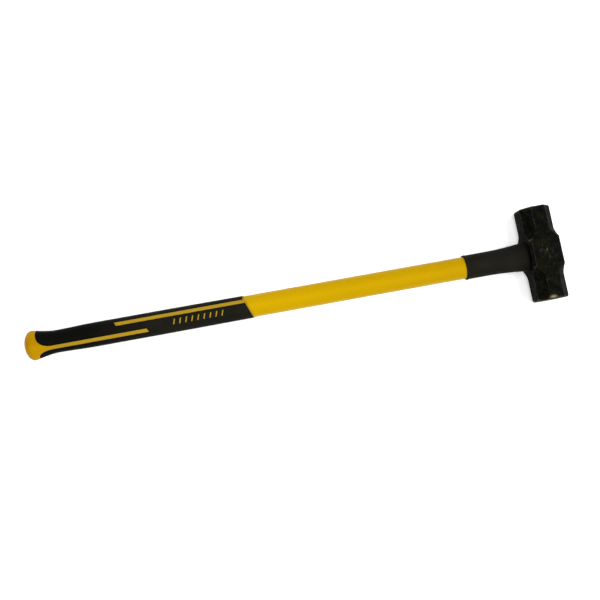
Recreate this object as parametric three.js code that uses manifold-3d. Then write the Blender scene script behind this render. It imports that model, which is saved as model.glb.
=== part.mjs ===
// A two-handed sledgehammer: a forged steel head bonded to a glass-fibre handle that
// has a plastic jacket, a rubber collar under the head and a two-colour moulded grip.
//
// Millimetres, +Z up. The hammer lies on one cheek of its head. +X runs along the handle
// to the top of the head, and +Y runs along the head from one striking face to the other.
// The origin is on the floor, below the middle of the whole tool.
//
// The pieces are drawn around the middle of the eye, where the handle's axis crosses the
// head's, and one group then sets them down on the floor. Every handle section is the same
// oval at another size, so a handle piece is a turned profile of half-widths, flattened.
// Only the collar's flare departs from that oval, because it grows mostly in width.

import * as THREE from 'three';
import { mergeVertices } from 'three/addons/utils/BufferGeometryUtils.js';
import Module from 'manifold-3d';

const wasm = await Module();
wasm.setup();

// Whole tool
const TOTAL_LENGTH = 915;
const FIT_GAP = 0.3; // clearance between two pieces that meet
const MERGE_DISTANCE = 1e-4; // vertices closer than this are one
const BEYOND = 60; // how far a cutting shape reaches past the piece it cuts

// Head
const HEAD_LENGTH = 164; // one striking face to the other
const HEAD_WIDTH = 54; // across the flats, both ways
const HEAD_CHAMFER = 15.2; // leg of each corner chamfer of the octagonal ends
const FACE_ROUNDING = 3.5; // radius round the rim of a striking face
const EYE_BLOCK_LENGTH = 48; // the nearly square part in the middle
const BLOCK_CHAMFER = 3; // leg of its slight corner chamfers
const RUNOUT_LENGTH = 18; // ramp from a chamfer up to the corner of the eye block
const RUNOUT_BEND = 0.6; // where along the ramp it turns level with the chamfer
const EYE_WIDTH_BELOW = 33; // mouth on the handle side
const EYE_WIDTH_ABOVE = 37; // mouth at the top, wider so that the resin is a wedge
const RESIN_RECESS = 1.2; // rod and resin end this far below the top of the head
const ROUNDING_STEPS = 5;

// Handle: rod, jacket and collar
const HANDLE_OVAL = 0.74; // thickness over width of every handle section
const OVAL_SIDES = 32;
const ROD_WIDTH = 28;
const JACKET_WIDTH = 38.1;
const TENON_WIDTH = 33; // the jacket's narrow end inside the grip
const COLLAR_LENGTH = 111;
const COLLAR_WIDTH = 41.9;
const COLLAR_FLARE_LENGTH = 73; // it grows mostly in width, up to the head
const COLLAR_FLARE_WIDTH = 51.6;
const COLLAR_FLARE_THICKNESS = 33;
const COLLAR_END_ROUNDING = 1.2;
const LIP_LENGTH = 4; // raised lip round the collar's free end
const LIP_HEIGHT = 0.4;

// Grip, with places along it measured from the butt end
const BUTT_WIDTH = 49.9;
const BUTT_DEPTH = 13.5; // length of the domed end, up to the widest place
const DOME_FULLNESS = 0.56; // how squarely the dome turns into the butt's widest place
const FLARE_HANDLES = [4, 16]; // curve handles from the widest place to the waist
const WAIST_AT = 52;
const WAIST_WIDTH = 37.9;
const RISE_HANDLES = [21, 20]; // curve handles from the waist to the swell
const SWELL_AT = 113;
const SWELL_WIDTH = 40.8;
const TAPER_AT = 248;
const GRIP_LENGTH = 388;
const GRIP_END_WIDTH = 40;
const ROD_START_AT = 18;
const TENON_START_AT = 318;
const RUBBER_DEPTH = 2;
const CURVE_STEPS = 6;

// Pattern of the grip, seen from above: x from the butt end, y from the handle's axis
const STRIPE_NEAR = 6.9; // stripe edge next to the axis
const STRIPE_FAR = 12.5;
const STRIPE_SLANT = 3; // how far a stripe's end slants over its width
const UPPER_STRIPE_START = 150.7;
const LOWER_STRIPE_END = 201.8;
const UPPER_LOBE_START = 21.5; // the rubber's rounded end over the waist
const UPPER_LOBE_TURN = 20;
const UPPER_LOBE_JOIN = 46;
const LOWER_LOBE_START = 21.5;
const LOWER_LOBE_JOIN = 50;
const LOWER_LOBE_BEND = 26;
const LOWER_LOBE_EDGE = 24;
const RUBBER_END_SQUARE = 366; // end of the strip beyond the upper stripe
const RUBBER_END_ON_AXIS = 371.5; // slanted end, where it crosses the axis
const END_SLANT = 0.361; // mm along the handle for each mm across it
const END_RIM = 2.4; // yellow rim left past the rubber's end
const MARK_COUNT = 9; // plain slanted bars
const MARK_START = 246;
const MARK_PITCH = 10.1;
const MARK_WIDTH = 1.9;
const MARK_HEIGHT = 9;
const MARK_MIDDLE = -3.3;
const MARK_SLANT = 3;

// Places along the handle, from the middle of the eye
const HEAD_TOP = HEAD_WIDTH / 2;
const HEAD_UNDERSIDE = -HEAD_WIDTH / 2;
const BUTT = HEAD_TOP - TOTAL_LENGTH;

const steel = new THREE.MeshStandardMaterial({ color: 0x1d1d19, roughness: 0.55, metalness: 0.6 });
const jacketYellow = new THREE.MeshStandardMaterial({ color: 0xd9ae05, roughness: 0.4, metalness: 0 });
const gripYellow = new THREE.MeshStandardMaterial({ color: 0xc99b08, roughness: 0.45, metalness: 0 });
const gripBlack = new THREE.MeshStandardMaterial({ color: 0x17170f, roughness: 0.8, metalness: 0 });
const collarBlack = new THREE.MeshStandardMaterial({ color: 0x23221a, roughness: 0.75, metalness: 0 });
const glassFibre = new THREE.MeshStandardMaterial({ color: 0xcfc39a, roughness: 0.6, metalness: 0 });
const resin = new THREE.MeshStandardMaterial({ color: 0x3a3020, roughness: 0.3, metalness: 0 });

/** A solid that manifold can cut, with shared vertices merged and collapsed triangles dropped. */
function toSolid(geometry) {
  const bare = geometry.clone();
  bare.deleteAttribute('normal');
  bare.deleteAttribute('uv');
  const merged = mergeVertices(bare, MERGE_DISTANCE);
  const index = merged.index.array;
  const triangles = [];
  for (let i = 0; i < index.length; i += 3) {
    const [a, b, c] = index.slice(i, i + 3);
    if (a !== b && b !== c && c !== a) triangles.push(a, b, c);
  }
  return new wasm.Manifold(new wasm.Mesh({
    numProp: 3,
    vertProperties: new Float32Array(merged.attributes.position.array),
    triVerts: new Uint32Array(triangles),
  }));
}

/** The three.js geometry of a manifold solid. */
function toGeometry(solid) {
  const mesh = solid.getMesh();
  const geometry = new THREE.BufferGeometry();
  geometry.setAttribute('position', new THREE.BufferAttribute(mesh.vertProperties, 3));
  geometry.setIndex(new THREE.BufferAttribute(mesh.triVerts, 1));
  geometry.computeVertexNormals();
  return geometry;
}

/** Turns a profile of [place along the handle, half-width] points round the handle's axis. */
function oval(profile) {
  const turned = new THREE.LatheGeometry(profile.map(([x, half]) => new THREE.Vector2(half, x)), OVAL_SIDES);
  const ontoHandle = new THREE.Matrix4().set(
    0, 1, 0, 0,
    0, 0, 1, 0,
    HANDLE_OVAL, 0, 0, 0,
    0, 0, 0, 1,
  );
  return toSolid(turned.applyMatrix4(ontoHandle));
}

/** An oval tube between two places, with an outer and an inner half-width. */
function ovalTube(from, to, outer, inner) {
  return oval([[from, inner], [from, outer], [to, outer], [to, inner], [from, inner]]);
}

/** A vertical prism through the whole handle, from an outline seen from above. */
function prism(outline) {
  const settings = { depth: 2 * BEYOND, bevelEnabled: false, curveSegments: CURVE_STEPS };
  return toSolid(new THREE.ExtrudeGeometry(outline, settings).translate(0, 0, -BEYOND));
}

/** Points of a quarter ellipse round a centre, from one angle to the next. */
function quarterEllipse(centreX, centreY, radiusX, radiusY, startAngle) {
  const arc = new THREE.EllipseCurve(centreX, centreY, radiusX, radiusY, startAngle, startAngle + Math.PI / 2);
  return arc.getPoints(ROUNDING_STEPS);
}

/**
 * A bar along the head, from its outline in one quarter: x along the head and y across it.
 * It is as wide as it needs to be in the third direction, and is turned about the head's axis.
 */
function headBar(quarter, turn) {
  const mirrored = (signX, signY) => quarter.map(({ x, y }) => new THREE.Vector2(signX * x, signY * y));
  const outline = new THREE.Shape([
    ...mirrored(1, 1).reverse(),
    ...mirrored(-1, 1),
    ...mirrored(-1, -1).reverse(),
    ...mirrored(1, -1),
  ]);
  const bar = new THREE.ExtrudeGeometry(outline, { depth: 2 * BEYOND, bevelEnabled: false });
  const alongHead = new THREE.Matrix4().set(
    0, 0, 1, -BEYOND,
    1, 0, 0, 0,
    0, 1, 0, 0,
    0, 0, 0, 1,
  );
  return toSolid(bar.applyMatrix4(alongHead).rotateY(turn));
}

/** Quarter outline across two flats, rounded at the striking face, up to a given length. */
function flatQuarter(end) {
  const half = HEAD_WIDTH / 2;
  const face = HEAD_LENGTH / 2;
  const rim = quarterEllipse(face - FACE_ROUNDING, half - FACE_ROUNDING, FACE_ROUNDING, FACE_ROUNDING, 0);
  return [...rim.reverse(), new THREE.Vector2(end, half - FACE_ROUNDING)];
}

/** Quarter outline across two chamfers: slight at the eye block, then down a ramp to full depth. */
function chamferQuarter() {
  const corner = HEAD_WIDTH * Math.SQRT1_2;
  const half = corner - HEAD_CHAMFER * Math.SQRT1_2;
  const blockHalf = corner - BLOCK_CHAMFER * Math.SQRT1_2;
  const face = HEAD_LENGTH / 2;
  const block = EYE_BLOCK_LENGTH / 2;
  const ramp = new THREE.QuadraticBezierCurve(
    new THREE.Vector2(block, blockHalf),
    new THREE.Vector2(block + RUNOUT_BEND * RUNOUT_LENGTH, half),
    new THREE.Vector2(block + RUNOUT_LENGTH, half),
  );
  const rim = quarterEllipse(face - FACE_ROUNDING, half - FACE_ROUNDING, FACE_ROUNDING, FACE_ROUNDING, 0);
  const past = new THREE.Vector2(face + BEYOND, half - FACE_ROUNDING);
  return [...ramp.getPoints(ROUNDING_STEPS), ...rim.reverse(), past];
}

/** Half-width of the tapered eye at a place along the handle. */
function eyeHalfWidth(place) {
  const along = (place - HEAD_UNDERSIDE) / HEAD_WIDTH;
  return (EYE_WIDTH_BELOW + along * (EYE_WIDTH_ABOVE - EYE_WIDTH_BELOW)) / 2;
}

/** Forged head: what four bars have in common, less the eye. */
function hammerHead() {
  const face = HEAD_LENGTH / 2;
  const acrossCheeks = headBar(flatQuarter(face), 0);
  const acrossTop = headBar(flatQuarter(face + BEYOND), Math.PI / 2);
  const chamfers = [Math.PI / 4, -Math.PI / 4].map((turn) => headBar(chamferQuarter(), turn));
  const forging = chamfers.reduce((bar, chamfer) => bar.intersect(chamfer), acrossCheeks.intersect(acrossTop));
  const below = HEAD_UNDERSIDE - BEYOND;
  const above = HEAD_TOP + BEYOND;
  const eye = oval([[below, 0], [below, eyeHalfWidth(below)], [above, eyeHalfWidth(above)], [above, 0]]);
  return forging.subtract(eye);
}

/** Pultruded rod, from inside the butt to just below the top of the head. */
function coreRod() {
  const start = BUTT + ROD_START_AT;
  const end = HEAD_TOP - RESIN_RECESS;
  return oval([[start, 0], [start, ROD_WIDTH / 2], [end, ROD_WIDTH / 2], [end, 0]]);
}

/** Cured resin that fills the eye round the rod. */
function eyeResin() {
  const end = HEAD_TOP - RESIN_RECESS;
  const inner = ROD_WIDTH / 2 + FIT_GAP;
  return oval([
    [HEAD_UNDERSIDE, inner],
    [HEAD_UNDERSIDE, eyeHalfWidth(HEAD_UNDERSIDE) - FIT_GAP],
    [end, eyeHalfWidth(end) - FIT_GAP],
    [end, inner],
    [HEAD_UNDERSIDE, inner],
  ]);
}

/** Jacket over the rod. A narrow tenon goes into the grip, whose slanted end it meets. */
function shaftJacket() {
  const start = BUTT + TENON_START_AT;
  const tube = ovalTube(start, HEAD_UNDERSIDE - FIT_GAP, JACKET_WIDTH / 2, ROD_WIDTH / 2 + FIT_GAP);
  const roundTenon = ovalTube(start - BEYOND, HEAD_UNDERSIDE, BEYOND, TENON_WIDTH / 2);
  return tube.subtract(roundTenon.intersect(prism(gripEndOutline(FIT_GAP))));
}

/** Rubber collar that shields the handle from missed blows. It grows in width towards the head. */
function overstrikeCollar() {
  const end = HEAD_UNDERSIDE - FIT_GAP;
  const start = end - COLLAR_LENGTH;
  const flareStart = end - COLLAR_FLARE_LENGTH;
  const half = COLLAR_WIDTH / 2;
  const profile = [
    [start, 0],
    [start, half],
    [start + LIP_HEIGHT, half + LIP_HEIGHT],
    [start + LIP_LENGTH, half + LIP_HEIGHT],
    [start + LIP_LENGTH + LIP_HEIGHT, half],
  ];
  for (let i = 0; i < CURVE_STEPS; i += 1) {
    profile.push([flareStart + (i / CURVE_STEPS) * COLLAR_FLARE_LENGTH, half]);
  }
  const rounding = quarterEllipse(end - COLLAR_END_ROUNDING, half - COLLAR_END_ROUNDING, COLLAR_END_ROUNDING,
    COLLAR_END_ROUNDING, 0);
  profile.push(...rounding.reverse().map(({ x, y }) => [x, y]), [end, 0]);
  const widening = COLLAR_FLARE_WIDTH / COLLAR_WIDTH - 1;
  const thickening = COLLAR_FLARE_THICKNESS / (HANDLE_OVAL * COLLAR_WIDTH) - 1;
  const flared = oval(profile).warp((point) => {
    const along = Math.max((point[0] - flareStart) / COLLAR_FLARE_LENGTH, 0);
    point[1] *= 1 + widening * along ** 2;
    point[2] *= 1 + thickening * along ** 2;
  });
  return flared.subtract(ovalTube(start - BEYOND, end + BEYOND, JACKET_WIDTH / 2 + FIT_GAP, 0));
}

/** Outer profile of the grip from the butt's tip to its end, as [place, half-width] points. */
function gripProfile() {
  const butt = BUTT_WIDTH / 2;
  const waist = WAIST_WIDTH / 2;
  const swell = SWELL_WIDTH / 2;
  const widest = BUTT + BUTT_DEPTH;
  const waistAt = BUTT + WAIST_AT;
  const swellAt = BUTT + SWELL_AT;
  const profile = new THREE.Path();
  profile.moveTo(BUTT, 0);
  profile.bezierCurveTo(BUTT, DOME_FULLNESS * butt, widest - DOME_FULLNESS * BUTT_DEPTH, butt, widest, butt);
  profile.bezierCurveTo(widest + FLARE_HANDLES[0], butt, waistAt - FLARE_HANDLES[1], waist, waistAt, waist);
  profile.bezierCurveTo(waistAt + RISE_HANDLES[0], waist, swellAt - RISE_HANDLES[1], swell, swellAt, swell);
  profile.lineTo(BUTT + TAPER_AT, swell);
  profile.lineTo(BUTT + GRIP_LENGTH, GRIP_END_WIDTH / 2);
  return profile.getPoints(CURVE_STEPS).map(({ x, y }) => [x, y]);
}

/** The layer of the grip from a given depth outwards, without the domed end. */
function gripLayer(depth, outward) {
  const profile = gripProfile().filter(([x]) => x >= BUTT + BUTT_DEPTH);
  const outer = profile.map(([x, half]) => [x, half + outward]);
  const inner = profile.map(([x, half]) => [x, half - depth]).reverse();
  return oval([...outer, ...inner, outer[0]]);
}

/** Place where the rubber's slanted end crosses a line y across the handle. */
function slantedEnd(y) {
  return BUTT + RUBBER_END_ON_AXIS - END_SLANT * y;
}

/** Outline of the rubber area with its two stripes left out, drawn in by a clearance. */
function rubberOutline(clearance) {
  const upperStart = BUTT + UPPER_LOBE_START + clearance;
  const upperJoin = BUTT + UPPER_LOBE_JOIN;
  const lowerStart = BUTT + LOWER_LOBE_START + clearance;
  const lowerJoin = BUTT + LOWER_LOBE_JOIN;
  const near = STRIPE_NEAR - clearance;
  const far = STRIPE_FAR + clearance;
  const upperStripe = BUTT + UPPER_STRIPE_START - clearance;
  const lowerStripe = BUTT + LOWER_STRIPE_END + clearance;
  const outline = new THREE.Shape();
  outline.moveTo(upperStart, BEYOND);
  outline.lineTo(upperStart, UPPER_LOBE_TURN);
  outline.quadraticCurveTo(upperStart, -near, upperJoin, -near);
  outline.lineTo(lowerStripe, -near);
  outline.lineTo(lowerStripe + STRIPE_SLANT, -far);
  outline.lineTo(lowerJoin, -far);
  outline.quadraticCurveTo(BUTT + LOWER_LOBE_BEND + clearance, -far, lowerStart, -LOWER_LOBE_EDGE);
  outline.lineTo(lowerStart, -BEYOND);
  outline.lineTo(slantedEnd(-BEYOND) - clearance, -BEYOND);
  outline.lineTo(slantedEnd(near) - clearance, near);
  outline.lineTo(upperStripe + STRIPE_SLANT, near);
  outline.lineTo(upperStripe, far);
  outline.lineTo(BUTT + RUBBER_END_SQUARE - clearance, far);
  outline.lineTo(BUTT + RUBBER_END_SQUARE - clearance, BEYOND);
  return outline;
}

/** Outline of all that lies before the grip's end, a rim's width and a clearance past the rubber. */
function gripEndOutline(clearance) {
  const rim = END_RIM + clearance;
  const outline = new THREE.Shape();
  outline.moveTo(BUTT - BEYOND, BEYOND);
  outline.lineTo(BUTT - BEYOND, -BEYOND);
  outline.lineTo(slantedEnd(-BEYOND) + rim, -BEYOND);
  outline.lineTo(slantedEnd(STRIPE_NEAR) + rim, STRIPE_NEAR);
  outline.lineTo(BUTT + RUBBER_END_SQUARE + rim, STRIPE_FAR);
  outline.lineTo(BUTT + RUBBER_END_SQUARE + rim, BEYOND);
  return outline;
}

/** The slanted bars of the grip's marking, grown by a clearance, as one set of prisms. */
function markPrisms(clearance) {
  const marks = [];
  for (let i = 0; i < MARK_COUNT; i += 1) {
    const left = BUTT + MARK_START + i * MARK_PITCH - clearance;
    const right = left + MARK_WIDTH + 2 * clearance;
    const top = MARK_MIDDLE + MARK_HEIGHT / 2 + clearance;
    const bottom = MARK_MIDDLE - MARK_HEIGHT / 2 - clearance;
    marks.push(prism(new THREE.Shape([
      new THREE.Vector2(left, bottom),
      new THREE.Vector2(right, bottom),
      new THREE.Vector2(right + MARK_SLANT, top),
      new THREE.Vector2(left + MARK_SLANT, top),
    ])));
  }
  return wasm.Manifold.compose(marks);
}

/** Yellow moulding: butt, stripes, end rim and marks stand up to the rubber's surface. */
function gripSleeve() {
  const tenonStart = BUTT + TENON_START_AT - FIT_GAP;
  const rodStart = BUTT + ROD_START_AT - FIT_GAP;
  const body = oval([
    ...gripProfile(),
    [BUTT + GRIP_LENGTH, TENON_WIDTH / 2 + FIT_GAP],
    [tenonStart, TENON_WIDTH / 2 + FIT_GAP],
    [tenonStart, ROD_WIDTH / 2 + FIT_GAP],
    [rodStart, ROD_WIDTH / 2 + FIT_GAP],
    [rodStart, 0],
  ]);
  const recess = gripLayer(RUBBER_DEPTH, BUTT_WIDTH)
    .intersect(prism(rubberOutline(0)))
    .subtract(markPrisms(0));
  return body.intersect(prism(gripEndOutline(0))).subtract(recess);
}

/** Black rubber that fills the sleeve's recess, flush with it. */
function gripRubber() {
  return gripLayer(RUBBER_DEPTH - FIT_GAP, 0)
    .intersect(prism(rubberOutline(FIT_GAP)))
    .subtract(markPrisms(FIT_GAP));
}

const tool = new THREE.Group();
tool.position.set(-(HEAD_TOP + BUTT) / 2, 0, HEAD_WIDTH / 2);

const pieces = [
  ['hammer_head', hammerHead(), steel],
  ['core_rod', coreRod(), glassFibre],
  ['eye_resin', eyeResin(), resin],
  ['shaft_jacket', shaftJacket(), jacketYellow],
  ['overstrike_collar', overstrikeCollar(), collarBlack],
  ['grip_sleeve', gripSleeve(), gripYellow],
  ['grip_rubber', gripRubber(), gripBlack],
];
for (const [name, solid, material] of pieces) {
  const mesh = new THREE.Mesh(toGeometry(solid), material);
  mesh.name = name;
  tool.add(mesh);
}

const sledgehammer = new THREE.Group();
sledgehammer.add(tool);

export default sledgehammer;
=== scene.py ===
import math

import bmesh
import bpy
import numpy as np
from mathutils import Matrix, Vector, noise
from mathutils.geometry import delaunay_2d_cdt


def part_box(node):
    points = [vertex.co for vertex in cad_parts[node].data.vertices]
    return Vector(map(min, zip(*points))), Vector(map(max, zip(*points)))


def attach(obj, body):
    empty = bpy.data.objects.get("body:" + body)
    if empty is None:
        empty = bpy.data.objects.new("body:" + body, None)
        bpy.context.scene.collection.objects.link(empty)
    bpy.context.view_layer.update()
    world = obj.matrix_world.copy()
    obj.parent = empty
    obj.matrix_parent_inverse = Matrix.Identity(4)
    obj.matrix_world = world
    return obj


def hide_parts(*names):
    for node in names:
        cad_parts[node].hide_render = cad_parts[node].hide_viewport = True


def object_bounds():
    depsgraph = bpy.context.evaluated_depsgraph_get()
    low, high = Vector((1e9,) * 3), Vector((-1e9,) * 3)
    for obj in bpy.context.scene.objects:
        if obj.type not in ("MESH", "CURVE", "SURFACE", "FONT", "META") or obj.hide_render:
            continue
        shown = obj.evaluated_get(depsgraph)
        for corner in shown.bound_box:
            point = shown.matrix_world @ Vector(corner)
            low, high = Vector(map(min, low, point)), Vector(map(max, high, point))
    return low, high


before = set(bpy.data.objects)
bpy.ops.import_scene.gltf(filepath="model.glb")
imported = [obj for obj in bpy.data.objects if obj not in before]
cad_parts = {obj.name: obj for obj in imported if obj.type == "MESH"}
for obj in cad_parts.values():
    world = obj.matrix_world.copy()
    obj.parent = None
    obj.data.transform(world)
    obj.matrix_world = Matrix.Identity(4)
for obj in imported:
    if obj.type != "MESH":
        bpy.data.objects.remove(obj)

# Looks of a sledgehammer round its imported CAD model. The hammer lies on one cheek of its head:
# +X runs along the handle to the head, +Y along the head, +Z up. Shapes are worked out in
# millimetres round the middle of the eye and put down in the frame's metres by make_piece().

cad_low, cad_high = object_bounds()

# ---------------------------------------------------------------- sizes

MM = 0.001
OVAL = 0.74  # thickness over width of every handle section

head_low, head_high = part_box("hammer_head")
EYE = (head_low + head_high) / 2
HEAD_HALF = (head_high.x - head_low.x) / 2 / MM
HEAD_REACH = (head_high.y - head_low.y) / 2 / MM
HEAD_CHAMFER = 15.2
BLOCK_CHAMFER = 3.0
BLOCK_REACH = 24.0  # half the length of the eye block
RUNOUT = 18.0  # ramp from a chamfer up to the block's corner
RUNOUT_BEND = 0.6  # how far along that ramp its curve turns
EDGE_RADIUS = 0.9
FACE_RADIUS = 3.5
FACE_CROWN = 0.5
FORGED_WAVES = ((16, 0.16), (5, 0.07))  # spacing and depth of the forging's unevenness
EYE_BELOW = 16.5  # half-widths of the eye's two mouths
EYE_ABOVE = 18.5
ROD_HALF = 14.0
RECESS = 1.2
RESIN_CLIMB = 0.25  # how much higher the resin stands at the steel than at the rod
RESIN_SAG = 0.55  # how far it dips between them

TOP = HEAD_HALF
UNDERSIDE = -HEAD_HALF
BUTT = (cad_low.x - EYE.x) / MM

JACKET_HALF = 19.05
TENON_HALF = 16.5
TENON_AT = 318.0
COLLAR_START = (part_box("overstrike_collar")[0].x - EYE.x) / MM
COLLAR_HALF = 20.95
COLLAR_FLARE = 73.0
COLLAR_GROWTH = (51.6 / 41.9 - 1, 33.0 / 31.0 - 1)  # in width and in thickness
COLLAR_SQUARENESS = 0.7  # how much squarer its section is at the head
COLLAR_END_ROUNDING = (2.4, 1.3)  # along the handle and into the collar
LIP_HEIGHT = 0.4
LIP_LENGTH = 4.0

BUTT_HALF = 24.95
BUTT_DEPTH = 13.5
WAIST_AT = 52.0
WAIST_HALF = 18.95
SWELL_AT = 113.0
SWELL_HALF = 20.4
TAPER_AT = 248.0
GRIP_LENGTH = 388.0
GRIP_END_HALF = 20.0
BUTT_BEND = 4.0  # how far the outline's curves hold their width at the butt, waist and swell
WAIST_BENDS = (16.0, 21.0)  # towards the butt and towards the swell
SWELL_BEND = 20.0
BUTT_FULLNESS = 0.56  # how squarely the domed end turns into the butt's widest place
ROD_START = 18.0
RUBBER_DEPTH = 2.0
RUBBER_SETBACK = 0.1  # how far below the yellow the rubber's surface lies
RUBBER_EDGE = 0.45
SLEEVE_EDGE = 0.25
SEAM = 0.3

STRIPE_NEAR = 6.9
STRIPE_FAR = 12.5
STRIPE_SLANT = 3.0
UPPER_STRIPE_START = 150.7
LOWER_STRIPE_END = 201.8
UPPER_LOBE_START = 21.5
UPPER_LOBE_TURN = 20.0
UPPER_LOBE_JOIN = 46.0
LOWER_LOBE_START = 21.5
LOWER_LOBE_JOIN = 50.0
LOWER_LOBE_BEND = 26.0
LOWER_LOBE_EDGE = 23.4
RUBBER_END_SQUARE = 366.0
RUBBER_END_ON_AXIS = 371.5
END_SLANT = 0.361
END_RIM = 2.4
END_FACE_HALF = 18.4  # ring of points halfway down the grip's end face
MARK_COUNT = 9
MARK_START = 246.0
MARK_PITCH = 10.1
MARK_WIDTH = 1.9
MARK_HEIGHT = 9.0
MARK_MIDDLE = -3.3
MARK_SLANT = 3.0

HALF_SIDES = 32  # columns round half of a handle section
SIDES = 2 * HALF_SIDES  # points of every ring round the handle
GRID = 1.8  # spacing of the points that fill the grip's surface
GRID_STRETCH = 0.45  # scale along the grip, which makes the triangles longer that way
GRID_ROW = 0.87  # between rows of points, in spacings
GRID_GAP = 0.6  # between the points and an outline, in spacings
ALL_TRIANGLES = 0  # tells delaunay_2d_cdt() to keep the triangles outside the outlines too
MERGE_WITHIN = 1e-7

WORN_LIT_SPOT = Vector((-7.0, -76.9, 27.0))  # spot by the rim of a striking face, worn bright and painted as a highlight
WORN_LIT_SPOT_SIZE = Vector((6.5, 2.7, 3.0))
FACE_WEAR = 0.6  # how rubbed the striking faces are, where the bright spot is 1
FACE_WEAR_BAND = (2.6, 0.9)  # where that starts and where it is full, in from a face
SCRATCHES_AT = 3.0  # middle of the cheeks' scratches along the head
SCRATCHES_HALF = (10.0, 13.0)  # across the head and along it
SCRATCHES_BAND = (3.0, 1.0)  # where they start and where they are full, in from a cheek
COLLAR_PAINTED_SHADE = 0.7  # how much painted shade darkens the collar close to the head
COLLAR_PAINTED_SHADE_BAND = (30.0, 5.0)  # where that starts and where it is full, from the head
RUBBER_PAINTED_LIGHT = (110.0, 210.0)  # where the rubber's painted lightening starts and where it is full
STRIPE_PALING = (30.0, 60.0)  # where the grip's yellow starts to be paler and where it fully is, both from the butt

CAMERA_PLACE = Vector((-0.0556, -0.0908, 1.0403))
CAMERA_AIM = Vector((0.0034, -0.0043, 0.027))
CAMERA_ROLL = math.radians(23.9)  # about its own line of sight
SENSOR = 36.0
LENS = 36.0

FLOOR_REACH = 6.0
FLOOR_GLOW = 0.5  # light that the table gives off by itself
SKY = (0.12, 0.3, 0.3)  # light from overhead and from the horizon, and the height between them
LIGHTS = (  # name, place, aim, size and power, in metres and watts
    ("key_softbox", (1.9, -0.3, 2.4), (0.2, 0.0, 0.0), (2.0, 2.0), 66),
    ("overhead_softbox", (-0.2, -0.05, 2.0), (-0.2, 0.0, 0.0), (1.2, 1.2), 18),
    ("near_softbox", (-0.4, -1.3, 1.5), (-0.1, 0.0, 0.0), (2.2, 1.0), 5),
    ("far_softbox", (-0.4, 1.4, 1.3), (-0.1, 0.0, 0.0), (2.2, 0.8), 4),
)


# ---------------------------------------------------------------- mesh helpers

def make_piece(name, points, faces, replaced):
    """A mesh object from points in millimetres round the eye, standing for one CAD node."""
    mesh = bpy.data.meshes.new(name)
    mesh.from_pydata([EYE + Vector(p) * MM for p in points], [], faces)
    mesh.validate()
    piece = bpy.data.objects.new(name, mesh)
    bpy.context.scene.collection.objects.link(piece)
    clean(piece)
    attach(piece, "root")
    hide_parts(replaced)
    return piece


def clean(piece):
    """Joins points that share a place and turns every face outwards."""
    work = bmesh.new()
    work.from_mesh(piece.data)
    bmesh.ops.remove_doubles(work, verts=work.verts, dist=1e-6)
    bmesh.ops.recalc_face_normals(work, faces=work.faces)
    work.to_mesh(piece.data)
    work.free()


def apply_modifier(piece, kind, **settings):
    """Adds a modifier with the given settings and makes its result the piece's mesh."""
    modifier = piece.modifiers.new(kind.title(), kind)
    for key, value in settings.items():
        setattr(modifier, key, value)
    with bpy.context.temp_override(object=piece, active_object=piece):
        bpy.ops.object.modifier_apply(modifier=modifier.name)


def shade(piece, sharp_degrees=32):
    """Smooth shading that keeps edges sharper than the given angle."""
    piece.data.polygons.foreach_set("use_smooth", [True] * len(piece.data.polygons))
    piece.data.set_sharp_from_angle(angle=math.radians(sharp_degrees))


def skin(rings, closed_rows=False):
    """Points and faces of a tube through rings that all have the same number of points."""
    count = len(rings[0])
    points = [p for ring in rings for p in ring]
    faces = []
    rows = len(rings) if closed_rows else len(rings) - 1
    for i in range(rows):
        a, b = i * count, (i + 1) % len(rings) * count
        for j in range(count):
            k = (j + 1) % count
            faces.append((a + j, a + k, b + k, b + j))
    return points, faces


def oval_ring(x, half):
    """Points of the handle's oval at a place along it."""
    turns = [2 * math.pi * j / SIDES for j in range(SIDES)]
    return [(x, half * math.sin(t), OVAL * half * math.cos(t)) for t in turns]


def rounded(profile, radius, steps=4):
    """An open outline with its inner corners rounded."""
    points = [tuple(profile[0])]
    for before, here, after in zip(profile, profile[1:], profile[2:]):
        before, here, after = Vector(before), Vector(here), Vector(after)
        into, out = before - here, after - here
        reach = min(radius, into.length * 0.45, out.length * 0.45)
        start = here + into.normalized() * reach
        end = here + out.normalized() * reach
        points += [tuple(curve_point(start, here, end, k / steps)) for k in range(steps + 1)]
    return points + [tuple(profile[-1])]


def ramp(value, start, end):
    """0 before the start, 1 past the end and even in between."""
    return min(max((value - start) / (end - start), 0.0), 1.0)


def curve_point(start, control, end, t):
    """Point of a quadratic curve."""
    return Vector(start) * (1 - t) ** 2 + Vector(control) * 2 * t * (1 - t) + Vector(end) * t ** 2


def bezier(p0, p1, p2, p3, steps):
    """Points of a cubic curve after its first point."""
    ts = [(i + 1) / steps for i in range(steps)]
    return [
        tuple(Vector(p0) * (1 - t) ** 3 + Vector(p1) * 3 * t * (1 - t) ** 2
              + Vector(p2) * 3 * t ** 2 * (1 - t) + Vector(p3) * t ** 3)
        for t in ts
    ]


# ---------------------------------------------------------------- head

def chamfer_reach(y):
    """Distance from the head's axis to its chamfers at a place along the head."""
    corner = HEAD_HALF * math.sqrt(2)
    deep = corner - HEAD_CHAMFER / math.sqrt(2)
    slight = corner - BLOCK_CHAMFER / math.sqrt(2)
    along = ramp(abs(y), BLOCK_REACH, BLOCK_REACH + RUNOUT)
    skew = 1 - 2 * RUNOUT_BEND
    t = (math.sqrt(RUNOUT_BEND ** 2 + skew * along) - RUNOUT_BEND) / skew
    return deep + (slight - deep) * (1 - t) ** 2


def between(start, end, steps):
    """Points that part a straight line into even steps, without its ends."""
    return [tuple(Vector(start).lerp(Vector(end), k / steps)) for k in range(1, steps)]


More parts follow.
